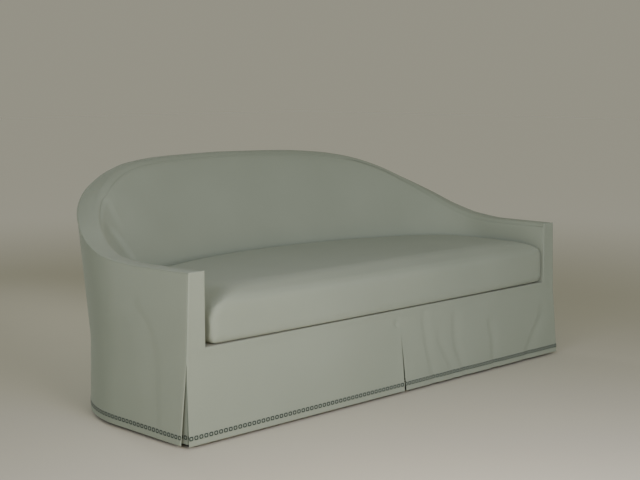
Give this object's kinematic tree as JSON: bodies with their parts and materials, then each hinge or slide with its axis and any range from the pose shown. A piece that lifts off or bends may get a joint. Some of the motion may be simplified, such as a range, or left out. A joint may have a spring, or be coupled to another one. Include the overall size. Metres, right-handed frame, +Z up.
{
  "type": "settee",
  "caption": "Barrel-backed upholstered settee with low narrow arms that sweep up into a curved back, a loose bench cushion and a cover that falls to the floor with kick pleats.",
  "frame": {"origin": "on the floor, under the middle of the whole piece", "axes": "+X to the right of someone looking at the front, +Y to the back, +Z up"},
  "size_m": [2.0558, 1.0211, 0.861],
  "materials": {
    "cover_fabric": "pale grey-green woven cloth",
    "trim_tape": "woven tape",
    "hardwood": "sawn, unfinished",
    "leg_wood": "dark stain",
    "glide_plastic": "matt",
    "spring_steel": "drawn wire",
    "webbing": "woven strap",
    "deck_cloth": "padded plain cloth",
    "dust_cloth": "thin felted cloth",
    "zip_tape": "woven tape with nylon chain",
    "zip_metal": "plated"
  },
  "bodies": {
    "sofa": {"front_rail": "hardwood", "side_rail_left": "hardwood", "side_rail_right": "hardwood", "back_rail": "hardwood", "rail_splice_blocks": "hardwood", "corner_blocks": "hardwood", "seat_stretchers": "hardwood", "arm_post_left": "hardwood", "arm_post_right": "hardwood", "arm_braces": "hardwood", "back_uprights": "hardwood", "arm_top_rail_left": "hardwood", "arm_top_rail_right": "hardwood", "crest_rail": "hardwood", "arm_liner_left": "hardwood", "arm_liner_right": "hardwood", "back_liner_rail": "hardwood", "back_webbing": "webbing", "front_legs": "leg_wood", "rear_legs": "leg_wood", "centre_legs": "leg_wood", "glides": "glide_plastic", "seat_springs": "spring_steel", "spring_clips": "spring_steel", "spring_tie_wires": "spring_steel", "seat_deck": "deck_cloth", "inside_arm_left": "cover_fabric", "inside_arm_right": "cover_fabric", "inside_back": "cover_fabric", "top_border": "cover_fabric", "outside_arm_left": "cover_fabric", "outside_arm_right": "cover_fabric", "outside_back": "cover_fabric", "front_panel_left": "cover_fabric", "front_panel_right": "cover_fabric", "corner_pleat_left": "cover_fabric", "corner_pleat_right": "cover_fabric", "centre_pleat": "cover_fabric", "trim_front": "trim_tape", "trim_left": "trim_tape", "trim_right": "trim_tape", "trim_back": "trim_tape", "dust_cover": "dust_cloth"},
    "cushion": {"seat_cushion": "cover_fabric", "cushion_zip": "zip_tape"},
    "zip_slider": {"zip_slider": "zip_metal"}
  },
  "joints": [
    {"name": "cushion_lift", "type": "slide", "parent": "sofa", "child": "cushion", "axis": [0, 0, 1], "range_m": [0, 0.35]},
    {"name": "zip_travel", "type": "hinge", "parent": "cushion", "child": "zip_slider", "pos_m": [0, -1.47653, 0.392], "axis": [0, 0, -1], "range_deg": [0, 29]}
  ]
}
